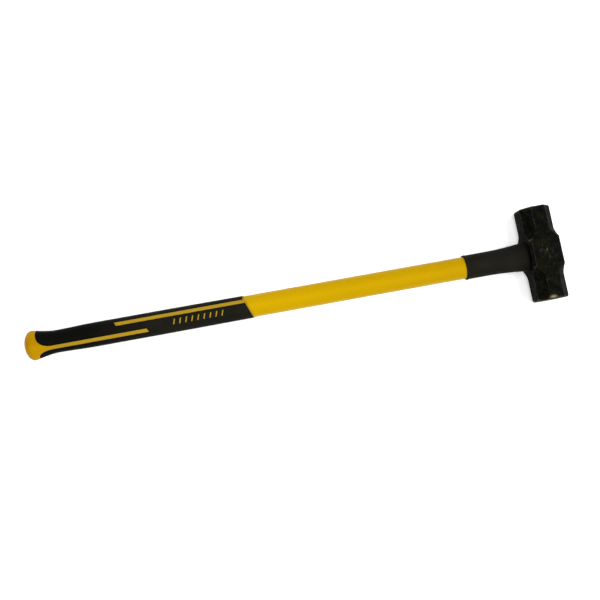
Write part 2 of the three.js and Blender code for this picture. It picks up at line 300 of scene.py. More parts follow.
def head_section(y, inset):
    """Rounded eight-sided section of the head, drawn in by an inset near the faces."""
    flat = HEAD_HALF - inset - EDGE_RADIUS
    chamfer = chamfer_reach(y) - inset - EDGE_RADIUS
    centre = chamfer * math.sqrt(2) - flat
    corner = []
    for degrees in (0, 15, 30, 45):
        a = math.radians(degrees)
        corner.append((flat + EDGE_RADIUS * math.cos(a), centre + EDGE_RADIUS * math.sin(a)))
    other = [(v, u) for u, v in reversed(corner)]
    quarter = corner + between(corner[-1], other[0], 8) + other
    quarter += between(other[-1], (-other[-1][0], other[-1][1]), 18)
    ring = []
    for turn in range(4):
        c, s = round(math.cos(turn * math.pi / 2)), round(math.sin(turn * math.pi / 2))
        ring += [(u * c - v * s, u * s + v * c) for u, v in quarter]
    return [(x, y, z) for x, z in ring]


def head_stations():
    """Places along one half of the head, from the middle out, with the inset at each."""
    block_steps, runout_steps, end_steps, rim_steps = 9, 14, 18, 8
    places = [(BLOCK_REACH * k / block_steps, 0.0) for k in range(block_steps)]
    places += [(BLOCK_REACH + RUNOUT * k / runout_steps, 0.0) for k in range(runout_steps + 1)]
    rim = HEAD_REACH - FACE_CROWN - FACE_RADIUS
    first = BLOCK_REACH + RUNOUT
    places += [(first + (rim - first) * k / end_steps, 0.0) for k in range(1, end_steps)]
    for k in range(rim_steps + 1):
        a = math.pi / 2 * k / rim_steps
        places.append((rim + FACE_RADIUS * math.sin(a), FACE_RADIUS * (1 - math.cos(a))))
    return places


def head_rings():
    """All sections of the head from one striking face to the other, faces included."""
    half = head_stations()
    rings = [head_section(y, inset) for y, inset in half]
    rim = rings[-1]
    face_steps = 12
    for k in range(1, face_steps):
        scale = 1 - k / face_steps
        y = HEAD_REACH - FACE_CROWN * scale ** 2
        rings.append([(x * scale, y, z * scale) for x, _, z in rim])
    mirrored = [[(x, -y, z) for x, y, z in ring] for ring in rings[:0:-1]]
    return mirrored + rings


def eye_half(x):
    """Half-width of the tapered eye at a place along the handle."""
    along = (x - UNDERSIDE) / (TOP - UNDERSIDE)
    return EYE_BELOW + along * (EYE_ABOVE - EYE_BELOW)


def forged_surface(point):
    """How far below the drawn surface the forged skin lies at a point, in millimetres."""
    return sum(depth * (1 - noise.noise(Vector(point) / spacing)) / 2 for spacing, depth in FORGED_WAVES)


def build_head():
    """The forging, crowned at both striking faces, with the eye cut through its block."""
    rings = head_rings()
    points, faces = skin(rings)
    count = len(rings[0])
    for row, y in ((0, -HEAD_REACH), (len(rings) - 1, HEAD_REACH)):
        points.append((0, y, 0))
        tip = len(points) - 1
        faces += [(row * count + j, row * count + (j + 1) % count, tip) for j in range(count)]
    forged = [Vector(p) - Vector(p).normalized() * forged_surface(p) for p in points]
    head = make_piece("head_forging", forged, faces, "hammer_head")
    cutter = eye_cutter()
    apply_modifier(head, "BOOLEAN", operation="DIFFERENCE", solver="EXACT", object=cutter)
    bpy.data.objects.remove(cutter)
    shade(head, 35)
    return head


def eye_cutter():
    """The space of the eye, with the small chamfers of its mouths."""
    mouth = 1.0
    past = 4.0
    profile = [
        (UNDERSIDE - past, EYE_BELOW + mouth + past),
        (UNDERSIDE + mouth, eye_half(UNDERSIDE + mouth)),
        (TOP - mouth, eye_half(TOP - mouth)),
        (TOP + past, EYE_ABOVE + mouth + past),
    ]
    points, faces = skin([oval_ring(x, half) for x, half in profile])
    faces.append(tuple(range(SIDES)))
    faces.append(tuple(range(len(points) - SIDES, len(points))))
    mesh = bpy.data.meshes.new("eye_cutter")
    mesh.from_pydata([EYE + Vector(p) * MM for p in points], [], faces)
    cutter = bpy.data.objects.new("eye_cutter", mesh)
    bpy.context.scene.collection.objects.link(cutter)
    clean(cutter)
    return cutter


# ---------------------------------------------------------------- rod, resin, jacket, collar

def build_rod():
    """Glass-fibre rod, sawn off square just below the top of the head."""
    start, end = BUTT + ROD_START, TOP - RECESS
    bevel = 0.5
    end_half = ROD_HALF - bevel
    profile = [(start, end_half), (start + bevel, ROD_HALF), (end - bevel, ROD_HALF), (end, end_half)]
    rings = [oval_ring(x, half) for x, half in profile]
    for scale in (0.75, 0.5, 0.25):
        rings.append([(end, y * scale, z * scale) for _, y, z in oval_ring(end, end_half)])
    points, faces = skin(rings)
    faces.append(tuple(reversed(range(SIDES))))
    faces.append(tuple(range(len(points) - SIDES, len(points))))
    rod = make_piece("fibre_rod", points, faces, "core_rod")
    shade(rod)
    return rod


def build_resin():
    """Resin in the eye, with a surface that sags between the rod and the steel."""
    end = TOP - RECESS
    gap = 0.05
    inner = ROD_HALF + 0.02
    outer = eye_half(end) - gap
    profile = [(UNDERSIDE, inner), (UNDERSIDE, eye_half(UNDERSIDE) - gap)]
    steps = 10
    for k in range(steps + 1):
        t = k / steps
        dip = RESIN_SAG * math.sin(math.pi * t) ** 0.8
        profile.append((end + RESIN_CLIMB * (1 - t) - dip, outer + (inner - outer) * t))
    points, faces = skin([oval_ring(x, half) for x, half in profile], closed_rows=True)
    resin = make_piece("eye_resin_fill", points, faces, "eye_resin")
    shade(resin, 50)
    return resin


def grip_end_place(y, extra):
    """Place along the handle where the grip's end crosses y, past the rubber by some extra."""
    square = BUTT + RUBBER_END_SQUARE + extra
    slanted = BUTT + RUBBER_END_ON_AXIS + extra - END_SLANT * y
    if y >= STRIPE_FAR:
        return square
    if y <= STRIPE_NEAR:
        return slanted
    top = BUTT + RUBBER_END_ON_AXIS + extra - END_SLANT * STRIPE_NEAR
    return top + (square - top) * (y - STRIPE_NEAR) / (STRIPE_FAR - STRIPE_NEAR)


def grip_end_ring(half, extra):
    """Ring of the jacket that follows the grip's slanted end."""
    return [(grip_end_place(JACKET_HALF * y, extra), half * y, half * z) for _, y, z in oval_ring(0, 1)]


def build_jacket():
    """Yellow jacket, from its tenon in the grip to the underside of the head."""
    bore = ROD_HALF + 0.1
    end = UNDERSIDE - SEAM
    rings = [oval_ring(BUTT + TENON_AT, bore), oval_ring(BUTT + TENON_AT, TENON_HALF)]
    gap = END_RIM + SEAM
    edge = 0.25
    rings.append(grip_end_ring(TENON_HALF, gap))
    rings.append(grip_end_ring(JACKET_HALF - edge, gap))
    rings.append(grip_end_ring(JACKET_HALF, gap + edge))
    clear_of_slant = 12
    first = BUTT + RUBBER_END_ON_AXIS + clear_of_slant
    steps = 60
    rings += [oval_ring(first + (end - first) * k / steps, JACKET_HALF) for k in range(steps + 1)]
    rings.append(oval_ring(end, bore))
    points, faces = skin(rings, closed_rows=True)
    jacket = make_piece("jacket_tube", points, faces, "shaft_jacket")
    shade(jacket)
    return jacket


def collar_ring(x, half):
    """Ring of the collar, which grows wider and squarer towards the head."""
    along = max((x - UNDERSIDE + COLLAR_FLARE) / COLLAR_FLARE, 0.0) ** 2
    power = 2 / (2 + COLLAR_SQUARENESS * along)
    width, thickness = (half * (1 + growth * along) for growth in COLLAR_GROWTH)
    ring = []
    for _, y, z in oval_ring(x, 1.0):
        z /= OVAL
        ring.append((x, width * math.copysign(abs(y) ** power, y),
                     OVAL * thickness * math.copysign(abs(z) ** power, z)))
    return ring


def build_collar():
    """Rubber collar with a rounded lip at its free end and a rounded end at the head."""
    end = UNDERSIDE - SEAM
    bore = JACKET_HALF + 0.02
    lip = COLLAR_HALF + LIP_HEIGHT
    lip_end = COLLAR_START + LIP_LENGTH
    length, depth = COLLAR_END_ROUNDING
    outline = rounded([
        (COLLAR_START, bore),
        (COLLAR_START, lip),
        (lip_end, lip),
        (lip_end + LIP_HEIGHT, COLLAR_HALF),
        (lip_end + 4 * LIP_HEIGHT, COLLAR_HALF),
    ], radius=0.5)[1:]
    reach = end - length - outline[-1][0]
    body_steps, end_steps = 40, 6
    outline += [(outline[-1][0] + reach * k / body_steps, COLLAR_HALF) for k in range(1, body_steps + 1)]
    for k in range(1, end_steps + 1):
        angle = math.pi / 2 * k / end_steps
        place = end - length + length * math.sin(angle)
        outline.append((place, COLLAR_HALF - depth + depth * math.cos(angle)))
    rings = [collar_ring(x, half) for x, half in outline]
    rings += [oval_ring(end, bore), oval_ring(COLLAR_START, bore)]
    points, faces = skin(rings, closed_rows=True)
    collar = make_piece("collar_sleeve", points, faces, "overstrike_collar")
    shade(collar, 40)
    return collar


# ---------------------------------------------------------------- grip

def grip_profile():
    """(place from the butt, half-width) points along the grip, from the butt's tip."""
    widest = (BUTT_DEPTH, BUTT_HALF)
    waist = (WAIST_AT, WAIST_HALF)
    swell = (SWELL_AT, SWELL_HALF)
    dome = [(0.0, BUTT_FULLNESS * BUTT_HALF), (BUTT_DEPTH * (1 - BUTT_FULLNESS), BUTT_HALF)]
    flare = [(BUTT_DEPTH + BUTT_BEND, BUTT_HALF), (WAIST_AT - WAIST_BENDS[0], WAIST_HALF)]
    rise = [(WAIST_AT + WAIST_BENDS[1], WAIST_HALF), (SWELL_AT - SWELL_BEND, SWELL_HALF)]
    points = [(0.0, 0.0)]
    points += bezier(points[0], *dome, widest, 16)
    points += bezier(widest, *flare, waist, 24)
    points += bezier(waist, *rise, swell, 24)
    return points + [(TAPER_AT, SWELL_HALF), (GRIP_LENGTH, GRIP_END_HALF)]


GRIP_PROFILE = grip_profile()


def grip_half(place):
    """Half-width of the grip at a place from the butt."""
    for (x0, h0), (x1, h1) in zip(GRIP_PROFILE, GRIP_PROFILE[1:]):
        if place <= x1:
            return h0 + (h1 - h0) * (place - x0) / (x1 - x0)
    return GRIP_END_HALF


def turn_at(place, y):
    """Turn from the top of the grip's section at which its surface is y across."""
    return math.asin(max(-1.0, min(1.0, y / grip_half(place))))


def on_grip(place, turn, depth):
    """Point of the grip at a place from the butt, a turn from the top and a depth."""
    half = grip_half(place) - depth
    return (BUTT + place, half * math.sin(turn), OVAL * half * math.cos(turn))


def straight(start, end, steps):
    """(place, turn) points of a line on the grip that is straight from above, less its end."""
    (x0, y0), (x1, y1) = start, end
    turn0, turn1 = turn_at(x0, y0), turn_at(x1, y1)
    points = []
    for k in range(steps):
        t = k / steps
        x = x0 + (x1 - x0) * t
        turn = turn0 + (turn1 - turn0) * t
        if y0 == y1:
            turn = turn_at(x, y0)
        elif x0 != x1:
            x = x0 + (x1 - x0) * (grip_half(x) * math.sin(turn) - y0) / (y1 - y0)
        points.append((x, turn))
    return points


def curved(start, control, end, steps=16):
    """(place, turn) points of a quadratic curve seen from above, less its end."""
    points = []
    for k in range(steps):
        t = k / steps
        x, y = curve_point(start, control, end, t)
        points.append((x, turn_at(x, y)))
    return points


def slanted_end(y):
    """Place from the butt at which the rubber's slanted end is y across."""
    return RUBBER_END_ON_AXIS - END_SLANT * y


def rubber_start(clearance):
    """Butt side of the rubber's outline, from one silhouette to the other."""
    start = UPPER_LOBE_START + clearance
    low = LOWER_LOBE_START + clearance
    near = -STRIPE_NEAR + clearance
    far = -STRIPE_FAR - clearance
    stripe = LOWER_STRIPE_END + clearance
    silhouette = -grip_half(low)
    points = straight((start, grip_half(start)), (start, UPPER_LOBE_TURN), 14)
    points += curved((start, UPPER_LOBE_TURN), (start, near), (UPPER_LOBE_JOIN, near))
    points += straight((UPPER_LOBE_JOIN, near), (stripe, near), 56)
    points += straight((stripe, near), (stripe + STRIPE_SLANT, far), 6)
    points += straight((stripe + STRIPE_SLANT, far), (LOWER_LOBE_JOIN, far), 54)
    bend = (LOWER_LOBE_BEND + clearance, far)
    points += curved((LOWER_LOBE_JOIN, far), bend, (low, -LOWER_LOBE_EDGE))
    points += straight((low, -LOWER_LOBE_EDGE), (low, silhouette), 3)
    return points + [(low, -math.pi / 2)]


def rubber_end(clearance):
    """Head side of the rubber's outline, from one silhouette to the other."""
    square = RUBBER_END_SQUARE - clearance
    near = STRIPE_NEAR - clearance
    far = STRIPE_FAR + clearance
    stripe = UPPER_STRIPE_START - clearance
    low = slanted_end(-GRIP_END_HALF) - clearance
    points = straight((square, grip_half(square)), (square, far), 9)
    points += straight((square, far), (stripe, far), 72)
    points += straight((stripe, far), (stripe + STRIPE_SLANT, near), 6)
    points += straight((stripe + STRIPE_SLANT, near), (slanted_end(near) - clearance, near), 72)
    points += straight((slanted_end(near) - clearance, near), (low, -grip_half(low)), 20)
    return points + [(low, -math.pi / 2)]


def grip_end(extra):
    """Outer edge of the grip's end, some extra past the rubber, one point a column."""
    points = []
    for k in range(HALF_SIDES + 1):
        turn = math.pi / 2 - math.pi * k / HALF_SIDES
        place = grip_end_place(GRIP_END_HALF * math.sin(turn), extra) - BUTT
        points.append((place, turn))
    return points


def mark(i, clearance):
    """Outline of one slanted bar of the grip's marking."""
    left = MARK_START + i * MARK_PITCH - clearance
    right = left + MARK_WIDTH + 2 * clearance
    top = MARK_MIDDLE + MARK_HEIGHT / 2 + clearance
    bottom = MARK_MIDDLE - MARK_HEIGHT / 2 - clearance
    corners = [(left, bottom), (right, bottom), (right + MARK_SLANT, top), (left + MARK_SLANT, top)]
    points = []
    for k, steps in enumerate((2, 6, 2, 6)):
        points += straight(corners[k], corners[(k + 1) % 4], steps)
    return points


def joined(first, second):
    """Closed outline from two edges that both run from one silhouette to the other."""
    def silhouette(start, end, turn):
        steps = max(2, round(abs(end - start) / 4))
        return [(start + (end - start) * k / steps, turn) for k in range(1, steps)]
    low = silhouette(first[-1][0], second[-1][0], -math.pi / 2)
    high = silhouette(second[0][0], first[0][0], math.pi / 2)
    return first + low + second[::-1] + high


def flattened(points):
    """(place, turn) points on a plane where triangles of even shape suit the grip's surface.

    They are rounded as a Vector rounds them, so that inside() judges the very triangles that
    delaunay_2d_cdt() makes, however thin.
    """
    plane = [(place * GRID_STRETCH, turn * GRIP_END_HALF) for place, turn in points]
    return np.array(plane, np.float32).astype(float)


def inside(points, outlines):
    """Which points lie inside the first outline and outside the others."""
    result = np.zeros(len(points), bool)
    for outline in outlines:
        for (x0, y0), (x1, y1) in zip(outline, np.roll(outline, -1, axis=0)):
            if y0 != y1:
                level = (y0 > points[:, 1]) != (y1 > points[:, 1])
                result ^= level & (points[:, 0] < x0 + (points[:, 1] - y0) * (x1 - x0) / (y1 - y0))
    return result


def fill(outlines):
    """(place, turn) points and triangles that fill the first outline, less the others."""
    edges = []
    for outline in outlines:
        start = len(edges)
        edges += [(start + k, start + (k + 1) % len(outline)) for k in range(len(outline))]
    flat = [flattened(outline) for outline in outlines]
    rim = np.concatenate(flat)
    low, high = rim.min(axis=0), rim.max(axis=0)
    rows = enumerate(np.arange(low[1], high[1], GRID * GRID_ROW))
    columns = np.arange(low[0], high[0], GRID)
    grid = np.array([(x + GRID / 2 * (row % 2), y) for row, y in rows for x in columns])
    grid = [p for p in grid[inside(grid, flat)] if np.hypot(*(rim - p).T).min() > GRID * GRID_GAP]
    every = np.array([*rim, *grid])
    places = [Vector(p) for p in every]
    _, _, faces, origins, _, _ = delaunay_2d_cdt(places, edges, [], ALL_TRIANGLES, MERGE_WITHIN)
    corners = np.array([[origins[v][0] for v in face] for face in faces])
    kept = corners[inside(every[corners].mean(axis=1), flat)]
    faces = [tuple(face) for face in kept.tolist()]
    inner = [(x / GRID_STRETCH, y / GRIP_END_HALF) for x, y in grid]
    return [p for outline in outlines for p in outline] + inner, faces


class Shell:
    """Collects the faces of the grip's upper half, then mirrors them to the lower half."""

    def __init__(self):
        self.points = []
        self.faces = []

    def add(self, points, faces):
        """Takes in points and the faces between them."""
        start = len(self.points)
        self.points += points
        self.faces += [tuple(start + v for v in face) for face in faces]

    def patch(self, outlines, depth):
        """A stretch of the grip's surface at a depth, inside outlines."""
        points, faces = fill(outlines)
        self.add([on_grip(place, turn, depth) for place, turn in points], faces)

    def wall(self, rows, closed=False):
        """A strip of faces through rows of (outline, depth)."""
        points = [on_grip(place, turn, depth) for outline, depth in rows for place, turn in outline]
        count = len(rows[0][0])
        columns = count if closed else count - 1
        faces = []
        for i in range(len(rows) - 1):
            for j in range(columns):
                k = (j + 1) % count
                faces.append((i * count + j, i * count + k, (i + 1) * count + k, (i + 1) * count + j))
        self.add(points, faces)

    def mirror(self):
        """Adds the lower half of the grip."""
        self.add([(x, y, -z) for x, y, z in self.points], list(self.faces))


def add_outside(shell):
    """The sleeve's outer surface, with the recess for the rubber and the bars that stand in it."""
    soft = SLEEVE_EDGE
    bend = soft * (1 - math.sqrt(0.5))
    marks = range(MARK_COUNT)
    brim = [(BUTT_DEPTH, math.pi / 2 - math.pi * k / HALF_SIDES) for k in range(HALF_SIDES + 1)]
    shell.patch([joined(brim, rubber_start(-soft))], 0)
    shell.patch([joined(rubber_end(-soft), grip_end(END_RIM - soft))], 0)
    shell.patch([joined(rubber_start(0), rubber_end(0))] + [mark(i, 0) for i in marks], RUBBER_DEPTH)
    for edge in (rubber_start, rubber_end):
        shell.wall([(edge(-soft), 0), (edge(-bend), bend), (edge(0), soft), (edge(0), RUBBER_DEPTH)])
    for i in marks:
        shell.patch([mark(i, -soft)], 0)
        rows = [(mark(i, -soft), 0), (mark(i, -bend), bend), (mark(i, 0), soft), (mark(i, 0), RUBBER_DEPTH)]
        shell.wall(rows, closed=True)
    end = [(grip_end(END_RIM - soft), 0), (grip_end(END_RIM - bend), bend), (grip_end(END_RIM), soft)]
    shell.wall(end)


def add_butt(shell):
    """The butt's dome, from its widest place to its tip."""
    rings = [oval_ring(BUTT + place, half) for place, half in GRIP_PROFILE if 0 < place <= BUTT_DEPTH]
    points, faces = skin(rings)
    tip = len(points)
    points.append((BUTT, 0, 0))
    faces += [(tip, j, (j + 1) % SIDES) for j in range(SIDES)]
    shell.add(points, faces)


def add_bore(shell):
    """The sleeve's slanted end face and its bore, wide for the jacket's tenon and then for the rod."""
    turns = [-math.pi + 2 * math.pi * k / SIDES for k in range(SIDES)]
    bore = TENON_HALF + SEAM
    rod_bore = ROD_HALF + SEAM
    rings = [[]]
    for turn in turns:
        place = grip_end_place(GRIP_END_HALF * math.sin(turn), END_RIM) - BUTT
        rings[0].append(on_grip(place, turn, SLEEVE_EDGE))
    for half in (END_FACE_HALF, bore):
        rings.append([(grip_end_place(y, END_RIM), y, z) for y, z in oval_points(turns, half)])
    tenon_end = TENON_AT - SEAM
    for place, half in ((tenon_end, bore), (tenon_end, rod_bore), (ROD_START - SEAM, rod_bore)):
        rings.append([(BUTT + place, y, z) for y, z in oval_points(turns, half)])
    points, faces = skin(rings)
    faces.append(tuple(range(len(points) - SIDES, len(points))))
    shell.add(points, faces)


def oval_points(turns, half):
    """(y, z) points of the handle's oval at turns from the top of its section."""
    return [(half * math.sin(turn), OVAL * half * math.cos(turn)) for turn in turns]


def build_grip_sleeve():
    """Yellow moulding: butt, stripes, end rim and bars, with the recess for the rubber."""
    shell = Shell()
    add_outside(shell)
    shell.mirror()
    add_butt(shell)
    add_bore(shell)
    sleeve = make_piece("grip_moulding", shell.points, shell.faces, "grip_sleeve")
    shade(sleeve, 40)
    return sleeve


def build_grip_rubber():
    """Black rubber in the sleeve's recess, a little below flush, with rounded edges."""
    shell = Shell()
    top = RUBBER_SETBACK
    soft = RUBBER_EDGE
    bend = soft * (1 - math.sqrt(0.5))
    floor = RUBBER_DEPTH - 0.05
    marks = range(MARK_COUNT)
    for clearance, depth in ((SEAM + soft, top), (SEAM, floor)):
        outlines = [joined(rubber_start(clearance), rubber_end(clearance))]
        outlines += [mark(i, clearance) for i in marks]
        shell.patch(outlines, depth)
    rows = [(SEAM + soft, top), (SEAM + bend, top + bend), (SEAM, top + soft), (SEAM, floor)]
    for edge in (rubber_start, rubber_end):
        shell.wall([(edge(clearance), depth) for clearance, depth in rows])
    for i in marks:
        shell.wall([(mark(i, clearance), depth) for clearance, depth in rows], closed=True)
    shell.mirror()
    rubber = make_piece("grip_overmould", shell.points, shell.faces, "grip_rubber")
    shade(rubber, 40)
    return rubber


# ---------------------------------------------------------------- materials

class Material:
    """A node material with short ways to add nodes."""

    def __init__(self, name):
        self.data = bpy.data.materials.new(name)
        self.data.use_nodes = True
        self.tree = self.data.node_tree
        self.shader = self.tree.nodes["Principled BSDF"]
        self.place = self.add("TexCoord").outputs["Object"]

    def add(self, kind, inputs=None, **settings):
        """A node with the given inputs, each a value or another node's output."""
        node = self.tree.nodes.new("ShaderNode" + kind)
        for key, value in settings.items():
            setattr(node, key, value)
        for key, value in (inputs or {}).items():
            self.set(node.inputs[key], value)
        return node

    def set(self, socket, value):
        """Links a node's output to an input, or gives the input a plain value."""
        if isinstance(value, bpy.types.NodeSocket):
            self.tree.links.new(value, socket)
        else:
            socket.default_value = value

    def noise(self, size, detail=4, stretch=(1, 1, 1), rough=0.55):
        """Soft noise with features of about a size in millimetres."""
        place = self.add("Mapping", {"Vector": self.place, "Scale": [s / (size * MM) for s in stretch]})
        inputs = {"Vector": place.outputs[0], "Scale": 1.0, "Detail": detail, "Roughness": rough}
        return self.add("TexNoise", inputs).outputs["Fac"]

    def cells(self, size, stretch=(1, 1, 1)):
        """Distance to the nearest of many points set a size apart."""
        place = self.add("Mapping", {"Vector": self.place, "Scale": [s / (size * MM) for s in stretch]})
        return self.add("TexVoronoi", {"Vector": place.outputs[0], "Scale": 1.0}).outputs["Distance"]

    def span(self, value, low, high, to_low=0.0, to_high=1.0):
        """A value mapped from one span to another and held inside it."""
        inputs = {"Value": value, "From Min": low, "From Max": high}
        inputs.update({"To Min": to_low, "To Max": to_high})
        return self.add("MapRange", inputs).outputs["Result"]

    def mix(self, factor, first, second):
        """The first colour where the factor is 0 and the second where it is 1."""
        node = self.add("Mix", data_type="RGBA")
        self.set(node.inputs[0], factor)
        self.set(node.inputs[6], first)
        self.set(node.inputs[7], second)
        return node.outputs[2]

    def math(self, operation, first, second):
        """The result of an operation on two values."""
        return self.add("Math", {0: first, 1: second}, operation=operation).outputs[0]

    def painted(self, name):
        """The value that paint() gave to the piece's points."""
        return self.add("Attribute", attribute_name=name).outputs["Fac"]

    def bump(self, height, distance, after=None):
        """Relief that rises by a distance in millimetres, laid over an earlier one if that is given."""
        inputs = {"Height": height, "Distance": distance * MM, "Strength": 1.0}
        if after is not None:
            inputs["Normal"] = after
        return self.add("Bump", inputs).outputs["Normal"]

    def finish(self, **inputs):
        """Sets the shader's inputs by name, with spaces written as underscores."""
        for key, value in inputs.items():
            self.set(self.shader.inputs[key.replace("_", " ")], value)
        return self.data


def srgb(red, green, blue):
    """A colour from 0-255 screen values."""
    def linear(value):
        value /= 255
        return value / 12.92 if value <= 0.04045 else ((value + 0.055) / 1.055) ** 2.4
    return (linear(red), linear(green), linear(blue), 1.0)


def paint(piece, name, value_at):
    """Gives each point of a piece a value worked out from its place, in millimetres round the eye."""
    attribute = piece.data.attributes.new(name, "FLOAT", "POINT")
    values = [value_at((vertex.co - EYE) / MM) for vertex in piece.data.vertices]
    attribute.data.foreach_set("value", values)


def rim_wear_and_highlight(point):
    """How rubbed the head is: most on one spot by a rim, worn steel with a painted highlight, less on the
    faces that strike.
    """
    first, full = (HEAD_REACH - band for band in FACE_WEAR_BAND)
    face = FACE_WEAR * ramp(abs(point.y), first, full)
    spot = Vector([offset / size for offset, size in zip(point - WORN_LIT_SPOT, WORN_LIT_SPOT_SIZE)])
    # the spot: worn steel, brightened further as a painted highlight
    return max(face, math.exp(-spot.length_squared ** 2))


def cheek_rub(point):
    """How scratched the head is: most in the middle of its cheeks."""
    across = point.x / SCRATCHES_HALF[0]
    along = (point.y - SCRATCHES_AT) / SCRATCHES_HALF[1]
    first, full = (HEAD_HALF - band for band in SCRATCHES_BAND)
    return math.exp(-across ** 2 - along ** 2) * ramp(abs(point.z), first, full)


def jacket_painted_light(point):
    """How much paler the jacket is painted: most at the grip and none at the collar, a painted light falloff
    along the handle.
    """
    return 1 - ramp(point.x, BUTT + GRIP_LENGTH, COLLAR_START)


def collar_painted_shade(point):
    """How light the collar is painted: darker close to the head, as painted shade from the head."""
    first, full = (UNDERSIDE - band for band in COLLAR_PAINTED_SHADE_BAND)
    return 1 - COLLAR_PAINTED_SHADE * ramp(point.x, first, full)


def rubber_painted_light(point):
    """How much lighter the grip's rubber is painted: least close to the butt, a painted light gradient along
    the grip.
    """
    return ramp(point.x - BUTT, *RUBBER_PAINTED_LIGHT)


def stripe_paling(point):
    """How much paler the grip's yellow is: all but the butt."""
    return ramp(point.x - BUTT, *STRIPE_PALING)


def forged_black():
    """Black lacquer over forge scale, browned in patches, scratched, and rubbed where it strikes; one spot by
    a rim and the sharp edges are paler, worn and partly a painted highlight.
    """
    m = Material("forged_black")
    patches = m.span(m.noise(11, 5), 0.4, 0.62)
    specks = m.span(m.noise(6, 4, rough=0.55), 0.48, 0.7)
    lacquer = m.mix(patches, srgb(7, 7, 7), srgb(18, 18, 12))
    browned = m.math("MULTIPLY", specks, m.span(patches, 0.0, 1.0, 0.15, 0.6))
    lacquer = m.mix(browned, lacquer, srgb(38, 38, 28))
    scratches = m.span(m.noise(2.6, 3, stretch=(1, 0.35, 1)), 0.54, 0.64)
    scratched = m.math("MULTIPLY", m.painted("rub_and_painted_light"), scratches)
    lacquer = m.mix(m.math("MULTIPLY", scratched, 0.6), lacquer, srgb(84, 80, 56))
    # paler sharp edges: worn lacquer, and partly a painted edge highlight
    edges = m.span(m.add("NewGeometry").outputs["Pointiness"], 0.505, 0.53)
    edges = m.math("MULTIPLY", edges, m.span(m.noise(8, 5), 0.4, 0.6))
    lacquer = m.mix(m.math("MULTIPLY", edges, 0.7), lacquer, srgb(92, 88, 62))
    # rubbed striking faces and the bright spot, which is partly a painted highlight
    wear_and_highlight = m.math("MULTIPLY", m.painted("wear_and_highlight"), m.span(m.noise(2.4, 6), 0.25, 0.55, 0.3, 1.0))
    colour = m.mix(wear_and_highlight, lacquer, srgb(118, 112, 90))
    roughness = m.span(m.noise(7, 5), 0.3, 0.7, 0.42, 0.62)
    rough = m.bump(m.noise(1.1, 4, rough=0.6), 0.05)
    hammered = m.bump(m.noise(6, 3), 0.5, rough)
    pits = m.bump(m.span(m.cells(3.1), 0.0, 0.35), 0.06, hammered)
    return m.finish(Base_Color=colour, Roughness=roughness, Metallic=m.math("MULTIPLY", wear_and_highlight, 0.6),
                    Specular_IOR_Level=0.012, Normal=pits)


# plain, darker and paler; the jacket's paler yellow is painted light
JACKET_YELLOWS = (srgb(192, 151, 0), srgb(187, 145, 0), srgb(203, 161, 0))
SLEEVE_YELLOWS = (srgb(190, 142, 0), srgb(177, 128, 0), srgb(176, 141, 36))


def moulded_plastic(name, colour, darker, paler, roughness):
    """Glossy moulded plastic with faint flow marks, scuffs, a fine pebble and a paler part: painted light on
    the jacket, a paler yellow on the grip.
    """
    m = Material(name)
    flow = m.noise(14, 4, stretch=(0.12, 1, 1))
    scuffs = m.span(m.noise(2.5, 6, stretch=(0.1, 1, 1), rough=0.7), 0.6, 0.75)
    base = m.mix(m.span(flow, 0.35, 0.7), colour, darker)
    # paler where the attribute says: painted light along the jacket, a paler yellow on the grip
    base = m.mix(m.painted("rub_and_painted_light"), base, paler)
    base = m.mix(m.math("MULTIPLY", scuffs, 0.25), base, darker)
    shine = m.math("ADD", m.span(m.noise(5, 5), 0.3, 0.7, roughness - 0.06, roughness + 0.08),
                   m.math("MULTIPLY", scuffs, 0.15))
    pebble = m.bump(m.noise(0.8, 2), 0.012)
    waves = m.bump(m.noise(22, 2, stretch=(0.25, 1, 1)), 0.12, pebble)
    return m.finish(Base_Color=base, Roughness=shine, Normal=waves, Specular_IOR_Level=0.3,
                    Specular_Tint=(1.0, 0.75, 0.05, 1.0))


def soft_rubber(name, colour, lighter, grain):
    """Matt black rubber with a fine stipple, paler with dust, lighter on the grip towards the head as painted
    light, and darker on the collar by the head as painted shade.
    """
    m = Material(name)
    rub_and_painted_light = m.span(m.noise(18, 5, stretch=(0.4, 1, 1)), 0.3, 0.6, 0.5, 1.0)
    dust = m.span(m.noise(1.6, 5, rough=0.7), 0.52, 0.75)
    # lighter where the attribute says: painted light along the grip, painted shade on the collar by the head
    base = m.mix(m.math("MULTIPLY", m.painted("rub_and_painted_light"), rub_and_painted_light), colour, lighter)
    base = m.mix(m.math("MULTIPLY", dust, 0.35), base, lighter)
    roughness = m.span(m.noise(6, 4), 0.3, 0.7, 0.56, 0.72)
    stipple = m.bump(m.span(m.cells(grain), 0.0, 0.6), 0.05)
    return m.finish(Base_Color=base, Roughness=roughness, Normal=stipple, Specular_IOR_Level=0.06)


def sawn_glass_fibre():
    """End grain of the pultruded rod: pale bundles of fibre in a yellow resin."""
    m = Material("sawn_glass_fibre")
    bundles = m.cells(0.7, stretch=(0.02, 1, 1))
    fibres = m.cells(0.16, stretch=(0.02, 1, 1))
    colour = m.mix(m.span(bundles, 0.15, 0.7), srgb(222, 206, 150), srgb(150, 128, 70))
    colour = m.mix(m.span(fibres, 0.3, 0.8, 0, 0.5), colour, srgb(120, 100, 58))
    stain = m.span(m.noise(9, 4), 0.45, 0.7)
    colour = m.mix(m.math("MULTIPLY", stain, 0.4), colour, srgb(96, 78, 46))
    saw = m.bump(m.noise(1.2, 3, stretch=(1, 0.1, 1)), 0.08)
    grain = m.bump(fibres, 0.03, saw)
    return m.finish(Base_Color=colour, Roughness=0.62, Normal=grain)


